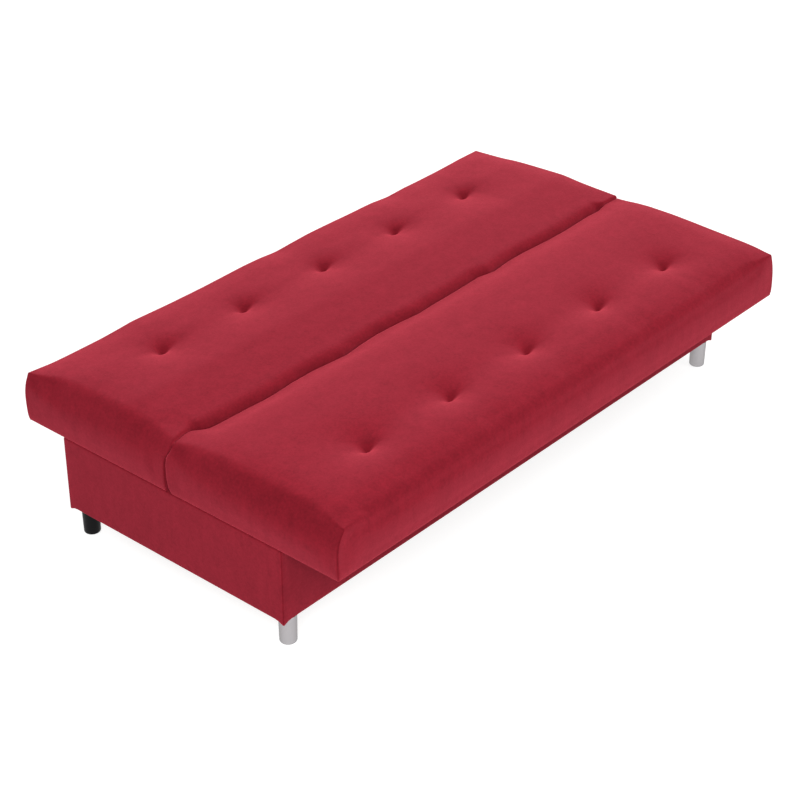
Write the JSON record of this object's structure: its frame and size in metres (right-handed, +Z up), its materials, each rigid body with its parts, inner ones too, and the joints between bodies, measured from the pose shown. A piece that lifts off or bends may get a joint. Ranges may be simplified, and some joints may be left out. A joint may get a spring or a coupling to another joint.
{
  "type": "click clack sofa bed",
  "caption": "Velour click clack sofa bed laid flat: tufted seat and back cushions on ratchet hinges over a bedding box with round legs.",
  "frame": {"origin": "on the floor, under the middle of the outline of the flat bed", "axes": "+X along the sofa to its right end, -Y to the front edge of the seat, +Z up"},
  "size_m": [1.92, 1.134, 0.463],
  "materials": {
    "velour": "matte",
    "particle_board": "matte",
    "pine": "matte",
    "hardboard": "matte",
    "zinc_steel": "satin",
    "satin_chrome": "satin",
    "black_plastic": "satin",
    "glide_plastic": "matte"
  },
  "bodies": {
    "bedding_box": {"box_front_board": "particle_board", "box_rear_board": "particle_board", "box_left_board": "particle_board", "box_right_board": "particle_board", "box_front_cover": "velour", "box_rear_cover": "velour", "box_left_cover": "velour", "box_right_cover": "velour", "box_divider": "pine", "box_floor": "hardboard", "box_bracket_left": "zinc_steel", "box_bracket_right": "zinc_steel", "corner_block_front_left": "pine", "leg_front_left": "satin_chrome", "leg_glide_front_left": "glide_plastic", "corner_block_front_right": "pine", "leg_front_right": "satin_chrome", "leg_glide_front_right": "glide_plastic", "corner_block_rear_left": "pine", "leg_rear_left": "black_plastic", "leg_glide_rear_left": "glide_plastic", "corner_block_rear_right": "pine", "leg_rear_right": "black_plastic", "leg_glide_rear_right": "glide_plastic"},
    "swing_arms": {"swing_arm_left": "zinc_steel", "swing_arm_right": "zinc_steel"},
    "guide_links": {"guide_link_left": "zinc_steel", "guide_link_right": "zinc_steel"},
    "hinge_carrier": {"ratchet_housing_left": "zinc_steel", "hinge_pin_left": "zinc_steel", "link_rivet_left": "zinc_steel", "ratchet_housing_right": "zinc_steel", "hinge_pin_right": "zinc_steel", "link_rivet_right": "zinc_steel"},
    "seat": {"seat_cushion": "velour", "seat_deck": "hardboard", "seat_outer_rail": "pine", "seat_joint_rail": "pine", "seat_end_rail_left": "pine", "seat_end_rail_right": "pine", "seat_inner_rail_left": "pine", "seat_inner_rail_right": "pine", "seat_slat_left": "pine", "seat_slat_middle": "pine", "seat_slat_right": "pine", "seat_plate_left": "zinc_steel", "seat_plate_right": "zinc_steel"},
    "back": {"back_cushion": "velour", "back_deck": "hardboard", "back_outer_rail": "pine", "back_joint_rail": "pine", "back_end_rail_left": "pine", "back_end_rail_right": "pine", "back_inner_rail_left": "pine", "back_inner_rail_right": "pine", "back_slat_left": "pine", "back_slat_middle": "pine", "back_slat_right": "pine", "back_plate_left": "zinc_steel", "back_plate_right": "zinc_steel"}
  },
  "joints": [
    {"name": "back_fold", "type": "hinge", "parent": "swing_arms", "child": "back", "pos_m": [0, 0.018, 0.422], "axis": [1, 0, 0], "range_deg": [0, 122.26]},
    {"name": "seat_lift", "type": "hinge", "parent": "hinge_carrier", "child": "seat", "pos_m": [0, 0.018, 0.422], "axis": [1, 0, 0], "range_deg": [-40, 0]},
    {"name": "arm_swing", "type": "hinge", "parent": "bedding_box", "child": "swing_arms", "pos_m": [0, 0.102, 0.23], "axis": [1, 0, 0], "range_deg": [-47.3, 0]},
    {"name": "ratchet_turn", "type": "hinge", "parent": "back", "child": "hinge_carrier", "pos_m": [0, 0.018, 0.422], "axis": [1, 0, 0], "range_deg": [-75.1, 0]},
    {"name": "guide_swing", "type": "hinge", "parent": "bedding_box", "child": "guide_links", "pos_m": [0, 0.062, 0.23], "axis": [1, 0, 0], "range_deg": [-47.3, 0]}
  ],
  "couplings": [
    {"joint": "arm_swing", "follows": "back_fold", "ratio": -0.38655},
    {"joint": "ratchet_turn", "follows": "back_fold", "ratio": -0.61345},
    {"joint": "guide_swing", "follows": "back_fold", "ratio": -0.38655}
  ]
}
